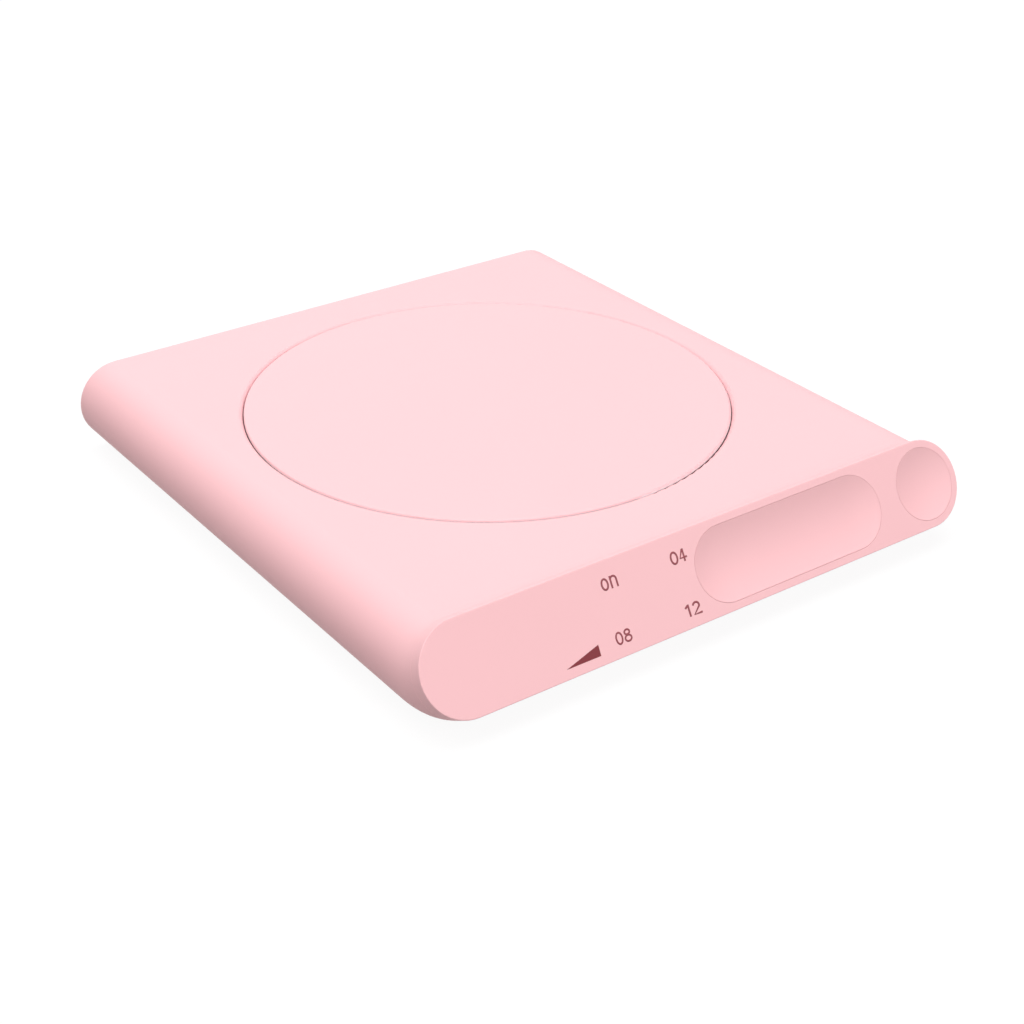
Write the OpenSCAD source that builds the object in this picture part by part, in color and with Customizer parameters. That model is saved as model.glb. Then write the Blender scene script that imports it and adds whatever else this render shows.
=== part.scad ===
// Electric mug warmer: a slim slab with fully rounded sides and an upturned control panel.
// X runs along the panel, Y from the panel to the back, Z up; the feet stand on Z = 0.

/* [Body] */
// Width of the slab, side to side
body_w = 110; // [106:1:130]
// Thickness of the slab
body_h = 15.2; // [15:0.1:17]
// Length of the flat part, from the bend to the back face
flat_len = 108; // [106:1:130]
// Angle by which the front end turns up
bend_angle = 30.5; // [28:0.5:33]
// Radius of the bend, along the middle of the slab
bend_r = 11; // [10:0.5:12]
// Straight stretch between the bend and the panel's face
nose_len = 2.5; // [2.3:0.1:3]
// Rounding of the slab's edges at the panel and at the back face
edge_r = 0.15; // [0.1:0.05:0.4]
// Moulded wall
wall = 1.8; // [1.5:0.1:1.9]
// Thickness of the back wall
back_wall = 2; // [1.6:0.1:2.6]
// Thickness of the front panel
panel_t = 1.8; // [1.5:0.1:2]

/* [Heating plate] */
// Radius of the heating plate
plate_r = 43.5; // [40:0.5:44]
// Thickness of the heating plate
plate_t = 2; // [1.6:0.1:2.4]
// Gap around the plate
plate_gap = 0.15; // [0.1:0.05:0.4]
// Radius of the plate's top edge
plate_edge_r = 0.4; // [0.2:0.05:0.6]
// Radius of the opening's edge around the plate
opening_edge_r = 0.8; // [0.3:0.05:0.9]
// Width of the seat under the plate's rim
seat_w = 3; // [2:0.25:4]
// Thickness of the seat
seat_t = 1.2; // [1:0.1:1.6]
// Wall around the seat
seat_wall = 1.8; // [1.4:0.1:2]
// Thickness of the silicone gasket
gasket_t = 0.8; // [0.6:0.1:1]
// Distance of the gasket's edges from the seat's edges
gasket_inset = 0.2; // [0.1:0.05:0.4]
// Thickness of the film heater
film_t = 0.3; // [0.2:0.05:0.4]
// Gap between the film heater and the seat
film_inset = 0.8; // [0.5:0.1:1.2]
// Thickness of the steel clamp plate
clamp_t = 0.8; // [0.6:0.1:1]
// Distance of the clamp plate's edge from the heating plate's edge
clamp_inset = 0.7; // [0.5:0.1:1]
// Distance of the plate's studs from its centre
stud_ring_r = 30; // [26:0.5:34]
// Number of studs
stud_count = 4; // [3:1:6]
// Radius of a stud
stud_r = 2.6; // [2.3:0.1:3]
// Radius of the temperature sensor
sensor_r = 1.2; // [1:0.1:1.4]
// Height of the temperature sensor
sensor_h = 1.5; // [1.2:0.1:1.7]
// Length of the thermal cut-out
cutout_len = 9; // [8:0.5:10]
// Width of the thermal cut-out
cutout_w = 4; // [3.5:0.1:4.5]
// Height of the thermal cut-out
cutout_h = 1.5; // [1.2:0.1:1.6]
// Space between the sensor and the thermal cut-out
cutout_space = 8.3; // [6:0.1:10]

/* [Keys] */
// Rim left between a key's opening and the body's edge
key_rim = 1.3; // [1.1:0.05:1.5]
// Gap around a key
key_gap = 0.05; // [0.05:0.01:0.15]
// Length of the timer key between the centres of its round ends
timer_len = 27.6; // [20:0.2:30]
// Panel left between the two keys
key_spacing = 4.5; // [4.2:0.1:5]
// Depth of the finger dish
dish_depth = 1; // [0.7:0.1:1.6]
// Flat rim left around the dish
dish_rim = 0.05; // [0.05:0.05:0.2]
// Wall of a key
key_wall = 1; // [0.8:0.1:1.1]
// Depth of a key's skirt behind the panel's face
key_skirt = 4; // [3.6:0.1:4.2]
// Travel of a key
key_travel = 0.6; // [0.3:0.1:0.7]
// Radius of the post behind a key
post_r = 1.8; // [1.4:0.1:2.2]
// Play between a key's hook and the panel
hook_play = 0.05; // [0.03:0.01:0.1]
// Reach of a hook past the edge of its opening
hook_reach = 0.8; // [0.5:0.1:1]
// Thickness of a hook
hook_t = 1; // [0.8:0.1:1.2]
// Width of a hook
hook_w = 4.4; // [3:0.2:5]

/* [Key board] */
// Depth of the key board's front side behind the panel's face
key_board_depth = 7.8; // [7.6:0.1:8]
// Gap between the key board and the casing
key_board_gap = 0.1; // [0.05:0.05:0.3]
// Distance of the key board's left end from the start of the body's round side
key_board_inset = 3.4; // [2.5:0.1:5]
// Thickness of every circuit board
board_t = 1.2; // [1:0.1:1.4]
// Height of a push switch's body
switch_h = 2.6; // [2.4:0.1:2.8]
// Side of a push switch's body
switch_w = 6; // [5.6:0.2:6]
// Radius of a switch's plunger
plunger_r = 1.6; // [1.4:0.1:1.7]
// Clearance around a plunger
plunger_gap = 0.2; // [0.15:0.05:0.3]
// Depth of a switch's well
switch_well = 2; // [1.8:0.1:2.2]
// Space between the timer key and the nearest column of lamps
lamp_space = 3.75; // [3.6:0.05:5]
// Distance between the two columns of lamps
lamp_spacing = 12.4; // [10:0.2:14]
// Radius of a light channel
channel_r = 1.1; // [0.9:0.05:1.2]
// Wall beside a light channel
channel_wall = 0.9; // [0.6:0.1:1.1]
// Wall above and below the light channels
channel_roof = 0.4; // [0.3:0.05:0.6]
// Panel left in front of a light channel
window_t = 0.8; // [0.6:0.1:1]

/* [Main board] */
// Depth of the main board, front to back
main_board_d = 14; // [13.6:0.2:18]
// Space between the main board and the cover's bosses
main_board_space = 3; // [2:0.2:5]
// Distance of a screw from a board's edges
screw_edge = 3; // [2.6:0.1:3.4]
// Distance of the heater's leads from the edge of the film heater
lead_inset = 4.7; // [4:0.1:6]
// Distance of the heater's leads from the middle
heater_lead_x = 12; // [10:0.5:13]
// Radius of a supply or heater lead, with its sheath
lead_r = 0.7; // [0.6:0.05:0.8]
// Distance between two such leads
lead_space = 2.6; // [2:0.1:3]
// Radius of a sensor lead, with its sheath
sensor_lead_r = 0.35; // [0.3:0.05:0.4]
// Distance between the sensor's leads
sensor_lead_space = 1.6; // [1.2:0.1:1.8]
// Distance of the supply leads from the middle
supply_lead_x = 7.8; // [7:0.1:9]
// Width of the flat cable
ribbon_w = 10; // [8:0.5:10]
// Thickness of the flat cable
ribbon_t = 0.3; // [0.2:0.05:0.4]

/* [Base] */
// Height of the slab above the table
foot_lift = 1; // [0.8:0.1:1.6]
// Radius of a rubber foot
foot_r = 5; // [4:0.5:6]
// Depth of a foot's recess in the cover
foot_recess = 0.6; // [0.4:0.1:0.8]
// Bevel on a foot's lower edge
foot_bevel = 0.5; // [0.3:0.1:0.7]
// Distance from a foot's centre to the base cover's sides
foot_inset_x = 9; // [8:0.5:14]
// Distance from a foot's centre to the base cover's ends
foot_inset_y = 21; // [20:0.5:28]
// Flat margin beside the base cover
cover_margin_x = 2.4; // [2:0.1:4]
// Flat margin before and behind the base cover
cover_margin_y = 5; // [4:0.5:7]
// Corner radius of the base cover
cover_r = 10; // [8:0.5:12]
// Gap around the base cover
cover_gap = 0.2; // [0.1:0.05:0.3]
// Thickness of the cover's flange
flange_t = 1; // [0.8:0.1:1.1]
// Width of the ledge that the flange seats on
ledge_w = 2; // [1.6:0.1:2.4]
// Distance from a cover screw to the cover's edges
cover_screw_inset = 7; // [7:0.1:7.4]
// Height of the pads around the cover screws, above the cover's inside
pad_h = 1.2; // [1:0.1:1.6]
// Thickness and height of the stiffening ribs
rib_t = 1; // [0.8:0.1:1.2]
// Distance from the ends of the stiffening ribs to the cover's edges
rib_margin = 12; // [10:0.5:16]

/* [Screws and bosses] */
// Shank radius of a cover screw
cover_screw_r = 1.1; // [1:0.05:1.2]
// Length of a cover screw, under its head
cover_screw_len = 8; // [7:0.5:9]
// Radius of the bosses for the cover screws
cover_boss_r = 3; // [2.6:0.1:3.2]
// Shank radius of a board screw
board_screw_r = 0.8; // [0.7:0.05:0.9]
// Length of a board screw, under its head
board_screw_len = 4; // [3.6:0.1:4.2]
// Radius of the bosses and posts for the board screws
board_boss_r = 2.2; // [1.9:0.1:2.4]
// Shank radius of a clamp screw
clamp_screw_r = 1.2; // [1:0.05:1.3]
// Clearance around a shank in its boss
pilot_gap = 0.05; // [0.03:0.01:0.08]
// Clearance around a shank in a board, a cover or a plate
pass_gap = 0.3; // [0.2:0.05:0.4]
// Space around and under a sunk screw head
head_gap = 0.15; // [0.1:0.05:0.3]
// Room left past the tip of a screw
tip_gap = 0.4; // [0.3:0.05:0.5]

/* [Supply socket] */
// Width of the socket's shell
inlet_w = 8.94; // [8.9:0.01:9]
// Height of the socket's shell
inlet_h = 3.26; // [3.2:0.01:3.3]
// Length of the socket's shell
inlet_len = 7.35; // [6.8:0.05:8]
// Sheet thickness of the shell
inlet_t = 0.3; // [0.25:0.01:0.35]
// Depth of the socket's mouth behind the back face
inlet_recess = 0.4; // [0.2:0.1:0.8]
// Gap between the socket and the back wall
inlet_gap = 0.2; // [0.1:0.05:0.3]
// Width of the contact tongue
tongue_w = 6.7; // [6.6:0.05:6.8]
// Thickness of the contact tongue
tongue_t = 0.7; // [0.65:0.05:0.75]
// Depth of the tongue's tip behind the socket's mouth
tongue_recess = 1.45; // [1.2:0.05:1.6]
// Width of the inlet board
inlet_board_w = 35; // [32:1:40]
// Depth of the inlet board, front to back
inlet_board_d = 12; // [11.5:0.5:14]
// Gap between the inlet board and the back wall
inlet_board_gap = 0.5; // [0.3:0.1:0.8]

/* [Hidden] */
$fn = 96;

// Overlap that joins two volumes of one piece, and overshoot of a cut
bond = 0.2;
over = 1;
// Step by which the straight nose is slimmer than the bend it runs into, so that no surfaces coincide
seam = 0.01;
// Play between pieces that lie beside each other
part_gap = 0.3;
// Angle at which the rounded edge of the plate's opening meets the top and the wall
edge_crease = 12;

// Places of the slab
front_reach = (bend_r + body_h / 2) * sin(bend_angle) + nose_len * cos(bend_angle);
depth = flat_len + front_reach;
bend_y = front_reach - depth / 2;
back_y = depth / 2;
base_z = foot_lift;
mid_z = base_z + body_h / 2;
top_z = base_z + body_h;
face_y = bend_y - bend_r * sin(bend_angle) - nose_len * cos(bend_angle);
face_z = mid_z + bend_r * (1 - cos(bend_angle)) + nose_len * sin(bend_angle);
end_x = (body_w - body_h) / 2;

// Heating plate, stacked down from the top
plate_y = bend_y + flat_len / 2;
plate_under = top_z - plate_t;
film_under = plate_under - film_t;
seat_top = plate_under - gasket_t;
seat_under = seat_top - seat_t;
clamp_under = seat_under - clamp_t;
opening_r = plate_r + plate_gap;
seat_inner_r = plate_r - seat_w;
film_r = seat_inner_r - film_inset;
clamp_r = plate_r - clamp_inset;
stud_bore = gasket_t + seat_t + plate_t / 2;
cutout_x = sensor_r + cutout_space + cutout_len / 2;

// Keys; the round one is centred on the body's round side
key_r = body_h / 2 - key_rim - key_gap;
dish_r = key_r - dish_rim;
ball_r = (pow(dish_r, 2) + pow(dish_depth, 2)) / (2 * dish_depth);
power_u = end_x;
timer_u = power_u - 2 * key_r - key_spacing - timer_len / 2;
timer_left = timer_u - timer_len / 2 - key_r;
timer_right = timer_u + timer_len / 2 + key_r;
key_bore_depth = key_skirt + key_travel + part_gap;
hook_from = panel_t + hook_play;
post_from = dish_depth + key_wall / 2;
switch_top = key_board_depth - switch_h;
plunger_top = switch_top - key_travel - part_gap;
plunger_foot = switch_top + switch_well / 2;

// Height of the cavity's floor on the panel's scale, at a depth behind its face
function floor_v(d) = let (r = bend_r + body_h / 2 - wall)
    d - nose_len < r * sin(bend_angle)
        ? bend_r - sqrt(pow(r, 2) - pow(d - nose_len, 2))
        : (base_z + wall - face_z + d * sin(bend_angle)) / cos(bend_angle);

// Key board, and its lamps above and below the panel's middle
key_board_u = key_board_inset - end_x;
key_board_r = -floor_v(key_board_depth + board_t) - key_board_gap;
baffle_v = -floor_v(key_board_depth) - key_board_gap;
channel_v = baffle_v - channel_r - channel_roof;
channel_u = [timer_left - lamp_space - lamp_spacing, timer_left - lamp_space];
baffle_side = channel_r + channel_wall;
lamp_w = 1.6;
lamp_d = 0.8;
lamp_h = 0.7;
boss_floor = 1;
key_board_bore = key_board_depth - panel_t - boss_floor;
rest_rib_gap = 0.45;
rest_rib_u = (timer_right + power_u - key_r) / 2;
rest_rib_t = key_spacing - 2 * (key_gap + hook_reach + rest_rib_gap);

// Base cover, its screws and the feet
cover_w = body_w - body_h - 2 * cover_margin_x;
cover_d = flat_len - 2 * cover_margin_y;
cover_top = base_z + wall;
pad_top = cover_top + pad_h;
pad_r = cover_boss_r + part_gap;
cover_screw_x = cover_w / 2 - cover_screw_inset;
cover_screw_y = cover_d / 2 - cover_screw_inset;
foot_t = foot_lift + foot_recess;

// Pan head of a screw: its radius and its height, in shank radii
head_wide = 1.8;
head_high = 1.2;
cover_head_seat = base_z + head_high * cover_screw_r + head_gap;
cover_bore = cover_head_seat + cover_screw_len + tip_gap - pad_top;

// Boards that lie on posts of the base cover, at the height of the socket's underside
board_top = mid_z - inlet_h / 2;
board_under = board_top - board_t;
connector_w = 6;
connector_d = 4;
connector_h = 1.6;
connector_top = board_top + connector_h;

// Main board: its connectors lie under the film heater, and its posts stand inside the cover's flange
lead_edge = connector_d / 2 + part_gap;
post_edge = ledge_w + cover_gap + part_gap + board_boss_r;
main_board_w = 2 * (cover_screw_x - cover_boss_r - main_board_space);
main_board_y = plate_y
    - min(film_r - lead_inset - lead_edge + main_board_d, cover_d / 2 - post_edge + screw_edge);
lead_y = main_board_y + main_board_d - lead_edge;
main_screw_x = main_board_w / 2 - screw_edge;
main_screw_y = [main_board_y + screw_edge, main_board_y + main_board_d - screw_edge];
inlet_board_y = back_y - back_wall - inlet_board_gap - inlet_board_d;
inlet_screw_x = inlet_board_w / 2 - screw_edge;
inlet_screw_y = inlet_board_y + screw_edge;

// Flat cable, beside the main board's screws. The key board's screws lie clear of it and of the baffle.
socket_w = ribbon_w + 1;
socket_d = 3;
socket_h = 1;
ribbon_u = screw_edge + socket_w / 2 - main_screw_x;
key_board_screw_u = [
    key_board_u,
    min(ribbon_u - socket_w / 2 - screw_edge, channel_u[0] - baffle_side - part_gap - board_boss_r)
];

// Parts on the main board
chip_w = 7;
chip_h = 1.2;
inductor_w = 7;
inductor_h = 3;
transistor_w = 5;
transistor_h = 2.2;
capacitor_r = 2.5;
capacitor_space = 1;
capacitor_from = ribbon_u + socket_w / 2 + part_gap + capacitor_r;
capacitor_x = [capacitor_from, capacitor_from + 2 * capacitor_r + capacitor_space];
capacitor_top = clamp_under - part_gap;
inductor_x = main_screw_x - screw_edge - inductor_w / 2;
transistor_x = -(main_screw_x - screw_edge - transistor_w / 2);
chip_x = (capacitor_x[1] + capacitor_r + inductor_x - inductor_w / 2) / 2;
part_row_y = main_board_y + main_board_d / 2;
capacitor_y = main_board_y + capacitor_r + part_gap;

// Colours
pink = [0.99, 0.78, 0.80];
board_green = [0.10, 0.36, 0.22];
steel = [0.75, 0.76, 0.78];
black = [0.10, 0.10, 0.11];

// ---- Shared shapes -------------------------------------------------------------------------

// Bar with round ends along x: length between the centres of the ends, and their radius
module stadium(length, r) {
    if (length > 0) translate([-length / 2, -r]) square([length, 2 * r]);
    for (x = length > 0 ? [-length / 2, length / 2] : [0]) translate([x, 0]) circle(r);
}

// Rectangle with round corners, centred
module rounded(w, d, r) {
    square([w - 2 * r, d], center = true);
    square([w, d - 2 * r], center = true);
    for (x = [-1, 1], y = [-1, 1]) translate([x * (w / 2 - r), y * (d / 2 - r)]) circle(r);
}

// Rod with ball ends along x
module capsule(length, r) {
    if (length > 0) rotate([0, 90, 0]) rotate_extrude() intersection() {
        rotate(90) stadium(length, r);
        translate([0, -length / 2 - r]) square([r, length + 2 * r]);
    }
    else sphere(r);
}

// Block that stands on z = 0, centred in x and y
module block(w, d, h) {
    translate([-w / 2, -d / 2, 0]) cube([w, d, h]);
}

// Children at both [x, y] and [-x, y]
module both_sides(x, y) {
    for (side = [-1, 1]) translate([side * x, y]) children();
}

// ---- The slab's form -----------------------------------------------------------------------

// Cross-section of the slab, moved in from its surface
module section(inset) {
    stadium(body_w - body_h, body_h / 2 - inset);
}

// Half of a bar's outline, from its middle outwards, with its far corner rounded
module half_bar(length, r, corner = edge_r) {
    square([r - corner, length]);
    square([r, length - corner]);
    translate([r - corner, length - corner]) circle(corner);
}

// Straight bar with the slab's section, along z, with its far edge rounded
module bar(length, inset) {
    r = body_h / 2 - inset;
    for (x = [-end_x, end_x]) translate([x, 0, 0]) rotate_extrude() half_bar(length, r);
    translate([-end_x, 0, 0]) rotate([90, 0, 90]) linear_extrude(2 * end_x) {
        half_bar(length, r);
        mirror([1, 0]) half_bar(length, r);
    }
}

// Moves children to the start of the bend, with z towards the back
module at_flat() {
    translate([0, bend_y, mid_z]) rotate([-90, 0, 0]) children();
}

// Moves children onto the panel: x along it, y up it, z out of it, at a depth behind its face
module at_face(depth = 0) {
    translate([0, face_y, face_z]) rotate([90 - bend_angle, 0, 0]) translate([0, 0, -depth])
        children();
}

// Extrudes an outline drawn on the panel between two depths behind its face
module behind_face(from, to) {
    at_face(to) linear_extrude(to - from) children();
}

// The point [y, z] at a depth behind the panel's face and a height up it
function face_point(depth, v) = [
    face_y + depth * cos(bend_angle) + v * sin(bend_angle),
    face_z - depth * sin(bend_angle) + v * cos(bend_angle)
];

module bend(inset) {
    translate([0, bend_y, mid_z + bend_r]) rotate([180, 90, 0])
        rotate_extrude(angle = bend_angle) translate([bend_r, 0]) rotate(90) section(inset);
}

// Outside of the slab. The straight nose runs a little way into the bend.
module slab_outside() {
    at_flat() bar(flat_len, 0);
    bend(0);
    at_face(nose_len + bond) bar(nose_len + bond, seam);
}

module slab_inside() {
    at_flat() linear_extrude(flat_len - back_wall) section(wall);
    bend(wall);
    behind_face(panel_t, nose_len + bond) section(wall + seam);
}

// ---- Places --------------------------------------------------------------------------------

// The heating plate's centre, at a height
module at_plate(z = 0) {
    translate([0, plate_y, z]) children();
}

// Each of the plate's studs
module on_studs(z) {
    for (i = [0 : stud_count - 1]) at_plate(z) rotate(45 + i * 360 / stud_count)
        translate([stud_ring_r, 0, 0]) children();
}

module on_main_screws(z) {
    for (y = main_screw_y) translate([0, 0, z]) both_sides(main_screw_x, y) children();
}

module on_inlet_screws(z) {
    translate([0, 0, z]) both_sides(inlet_screw_x, inlet_screw_y) children();
}

// Each post of the base cover that carries a board
module on_posts(z) {
    on_main_screws(z) children();
    on_inlet_screws(z) children();
}

module on_cover_screws(z) {
    for (y = [-cover_screw_y, cover_screw_y]) translate([0, plate_y, z])
        both_sides(cover_screw_x, y) children();
}

module on_feet(z) {
    for (y = [-1, 1]) translate([0, plate_y, z])
        both_sides(cover_w / 2 - foot_inset_x, y * (cover_d / 2 - foot_inset_y)) children();
}

// Each light channel, on the panel's scale
module on_channels() {
    for (u = channel_u, v = [-channel_v, channel_v]) translate([u, v]) children();
}

// ---- Screws and bosses ---------------------------------------------------------------------

// Pan-head screw that points up, with its head under z = 0
module screw(shank_r, length) {
    head_r = head_wide * shank_r;
    head_h = head_high * shank_r;
    tip_r = shank_r / 3;
    difference() {
        translate([0, 0, -head_h]) rotate_extrude() polygon([
            [0, 0], [head_r - head_h / 4, 0], [head_r, head_h / 2], [head_r, head_h], [0, head_h]
        ]);
        for (a = [0, 90]) rotate(a) translate([0, 0, -head_h])
            cube([1.2 * head_r, 0.3 * head_r, head_h], center = true);
    }
    rotate_extrude() polygon([
        [0, 0], [shank_r, 0], [shank_r, length - shank_r], [tip_r, length], [0, length]
    ]);
}

// Boss that hangs from the slab's top wall
module hanging_boss(bottom, r) {
    translate([0, 0, bottom]) cylinder(h = top_z - wall + bond - bottom, r = r);
}

// Bore up from z = 0 for a screw's shank
module pilot_bore(shank_r, length) {
    translate([0, 0, -over]) cylinder(h = length + over, r = shank_r + pilot_gap);
}

// ---- Casing --------------------------------------------------------------------------------

module housing_solid() {
    difference() {
        slab_outside();
        slab_inside();
    }
    // wall around the plate's seat
    at_plate(seat_under) cylinder(h = top_z - wall + bond - seat_under, r = opening_r + seat_wall);
    on_cover_screws(0) hanging_boss(pad_top, cover_boss_r);
    // bosses of the key board, and the rib that it rests on between the keys
    behind_face(panel_t - bond, key_board_depth) {
        for (u = key_board_screw_u) translate([u, 0]) circle(board_boss_r);
        translate([rest_rib_u, 0]) square([rest_rib_t, 2 * key_board_r], center = true);
    }
}

module key_opening(u, length) {
    behind_face(-over, key_bore_depth) translate([u, 0]) stadium(length, key_r + key_gap);
}

// Ring that rounds the edge of the plate's opening. It meets the top and the wall at a slight angle.
module opening_edge() {
    middle = opening_edge_r * cos(edge_crease);
    at_plate(top_z) rotate_extrude() difference() {
        translate([opening_r - opening_edge_r, -middle]) square([opening_edge_r + middle, middle + over]);
        translate([opening_r + middle, -middle]) circle(opening_edge_r);
    }
}

module housing() color(pink) difference() {
    housing_solid();
    // opening and seat of the heating plate
    at_plate(seat_top) cylinder(h = plate_t + gasket_t + over, r = opening_r);
    opening_edge();
    at_plate(seat_under - over) cylinder(h = seat_t + 2 * over, r = seat_inner_r);
    // opening for the base cover and the ledge that its flange seats on
    translate([0, plate_y, base_z - over]) linear_extrude(over + flange_t)
        rounded(cover_w + 2 * cover_gap, cover_d + 2 * cover_gap, cover_r + cover_gap);
    translate([0, plate_y, base_z]) linear_extrude(wall + bond)
        rounded(cover_w - 2 * ledge_w, cover_d - 2 * ledge_w, cover_r - ledge_w);
    // keys, lamp windows and the supply socket
    key_opening(power_u, 0);
    key_opening(timer_u, timer_len);
    behind_face(window_t, panel_t + over) on_channels() circle(channel_r);
    at_flat() translate([0, 0, flat_len - back_wall - over]) linear_extrude(back_wall + 2 * over)
        stadium(inlet_w - inlet_h, inlet_h / 2 + inlet_gap);
    // bores for the screws
    on_cover_screws(pad_top) pilot_bore(cover_screw_r, cover_bore);
    for (u = key_board_screw_u) at_face(key_board_depth) translate([u, 0, 0])
        pilot_bore(board_screw_r, key_board_bore);
}

module base_cover_solid() {
    translate([0, plate_y, base_z]) linear_extrude(flange_t) rounded(cover_w, cover_d, cover_r);
    translate([0, plate_y, base_z + flange_t - bond]) linear_extrude(wall - flange_t + bond)
        rounded(cover_w - 2 * (ledge_w + cover_gap), cover_d - 2 * (ledge_w + cover_gap),
            cover_r - ledge_w - cover_gap);
    on_cover_screws(cover_top - bond) cylinder(h = pad_h + bond, r = pad_r);
    // posts that the two boards lie on
    on_posts(cover_top - bond) cylinder(h = board_under - cover_top + bond, r = board_boss_r);
    // stiffening ribs
    translate([0, plate_y, cover_top - bond]) {
        for (x = [-1, 1]) translate([x * cover_w / 5, 0, 0])
            block(rib_t, cover_d - 2 * rib_margin, rib_t + bond);
        for (y = [-1, 1]) translate([0, y * cover_d / 6, 0])
            block(cover_w - 2 * rib_margin, rib_t, rib_t + bond);
    }
}

module base_cover() color(pink) difference() {
    base_cover_solid();
    on_feet(base_z - over) cylinder(h = over + foot_recess, r = foot_r + part_gap / 2);
    on_cover_screws(base_z - over)
        cylinder(h = over + cover_head_seat - base_z, r = head_wide * cover_screw_r + head_gap);
    on_cover_screws(base_z) cylinder(h = pad_top, r = cover_screw_r + pass_gap);
    on_posts(board_under) mirror([0, 0, 1])
        pilot_bore(board_screw_r, board_screw_len - board_t + tip_gap);
}

module base_screws() color(steel) {
    on_cover_screws(cover_head_seat) screw(cover_screw_r, cover_screw_len);
}

module rubber_feet() color(black) {
    on_feet(0) rotate_extrude() polygon([
        [0, 0], [foot_r - foot_bevel, 0], [foot_r, foot_bevel], [foot_r, foot_t], [0, foot_t]
    ]);
}

// ---- Heating plate -------------------------------------------------------------------------

module heating_plate() color(pink) difference() {
    union() {
        at_plate(plate_under) rotate_extrude() half_bar(plate_t, plate_r, plate_edge_r);
        on_studs(seat_under) cylinder(h = plate_under - seat_under + bond, r = stud_r);
    }
    on_studs(seat_under) pilot_bore(clamp_screw_r, stud_bore);
}

module plate_gasket() color("whitesmoke") at_plate(seat_top) difference() {
    cylinder(h = gasket_t, r = plate_r - gasket_inset);
    translate([0, 0, -over]) cylinder(h = gasket_t + 2 * over, r = seat_inner_r + gasket_inset);
}

module heater_film() color([0.80, 0.45, 0.15]) difference() {
    at_plate(film_under) cylinder(h = film_t, r = film_r);
    on_studs(film_under - over) cylinder(h = film_t + 2 * over, r = stud_r + part_gap);
}

// Cuts through the pad and the clamp plate for the sensor and the heater's leads
module lead_cuts() {
    cut_from = clamp_under - over;
    cut_h = film_under - cut_from + over;
    at_plate(cut_from) cylinder(h = cut_h, r = sensor_r + part_gap);
    translate([-heater_lead_x, lead_y, cut_from])
        block(lead_space + 2 * (lead_r + part_gap), 2 * (lead_r + part_gap), cut_h);
}

module insulation_pad() color([0.93, 0.92, 0.88]) difference() {
    at_plate(seat_under) cylinder(h = film_under - seat_under, r = film_r);
    on_studs(seat_under - over) cylinder(h = film_under - seat_under + 2 * over, r = stud_r + part_gap);
    at_plate(seat_under - over) translate([cutout_x, 0, 0])
        block(cutout_len + 2 * part_gap, cutout_w + 2 * part_gap, film_under - seat_under + 2 * over);
    lead_cuts();
}

module clamp_plate() color(steel) difference() {
    at_plate(clamp_under) cylinder(h = clamp_t, r = clamp_r);
    on_studs(clamp_under - over) cylinder(h = clamp_t + 2 * over, r = clamp_screw_r + pass_gap);
    lead_cuts();
}

module clamp_screws() color(steel) {
    on_studs(clamp_under) screw(clamp_screw_r, clamp_t + stud_bore - tip_gap);
}

module temperature_sensor() color(black) {
    at_plate(film_under - sensor_h) cylinder(h = sensor_h, r = sensor_r);
}

module thermal_cutout() color("silver") {
    at_plate(film_under - cutout_h) translate([cutout_x, 0, 0]) block(cutout_len, cutout_w, cutout_h);
}

module heater_leads() color("white") {
    translate([-heater_lead_x, lead_y, connector_top]) both_sides(lead_space / 2, 0)
        cylinder(h = film_under - connector_top, r = lead_r);
}

// Quarter turn of a sensor lead
module sensor_elbow(turn_r) {
    rotate_extrude(angle = 90) translate([turn_r, 0]) circle(sensor_lead_r);
}

// Straight run of a sensor lead, a touch slimmer than the turns that it reaches into
module sensor_run(from, to) {
    translate([0, 0, from]) cylinder(h = to - from, r = sensor_lead_r - seam);
}

// Each lead drops from the sensor, runs forward under the clamp plate and drops to its connector
module sensor_leads() color("red") {
    turn_r = 3 * sensor_lead_r;
    run_z = clamp_under - 2 * sensor_lead_r;
    lap = bond / 2;
    both_sides(sensor_lead_space / 2, 0) {
        translate([0, plate_y, 0]) sensor_run(run_z + turn_r - lap, film_under - sensor_h);
        translate([0, plate_y - turn_r, run_z + turn_r]) rotate([-90, 0, 90]) sensor_elbow(turn_r);
        translate([0, lead_y + turn_r, run_z]) rotate([-90, 0, 0])
            sensor_run(-lap, plate_y - lead_y - 2 * turn_r + lap);
        translate([0, lead_y + turn_r, run_z - turn_r]) rotate([180, -90, 0]) sensor_elbow(turn_r);
        translate([0, lead_y, 0]) sensor_run(connector_top, run_z - turn_r + lap);
    }
}

// ---- Main board ----------------------------------------------------------------------------

module main_board() color(board_green) difference() {
    translate([0, main_board_y + main_board_d / 2, board_under])
        block(main_board_w, main_board_d, board_t);
    on_main_screws(board_under - over) cylinder(h = board_t + 2 * over, r = board_screw_r + pass_gap);
}

module board_screws() color(steel) {
    on_main_screws(board_top) mirror([0, 0, 1]) screw(board_screw_r, board_screw_len);
}

module control_chip() color(black) {
    translate([chip_x, part_row_y, board_top]) block(chip_w, chip_w, chip_h);
}

module power_parts() color([0.25, 0.25, 0.27]) {
    translate([inductor_x, part_row_y, board_top]) block(inductor_w, inductor_w, inductor_h);
    translate([transistor_x, part_row_y, board_top]) block(transistor_w, transistor_w, transistor_h);
}

module capacitors() color([0.20, 0.22, 0.32]) {
    for (x = capacitor_x) translate([x, capacitor_y, board_top])
        cylinder(h = capacitor_top - board_top, r = capacitor_r);
}

module lead_connectors() color("ivory") {
    for (x = [-heater_lead_x, 0]) translate([x, lead_y, board_top])
        block(connector_w, connector_d, connector_h);
}

// ---- Key board, behind the panel -----------------------------------------------------------

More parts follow.
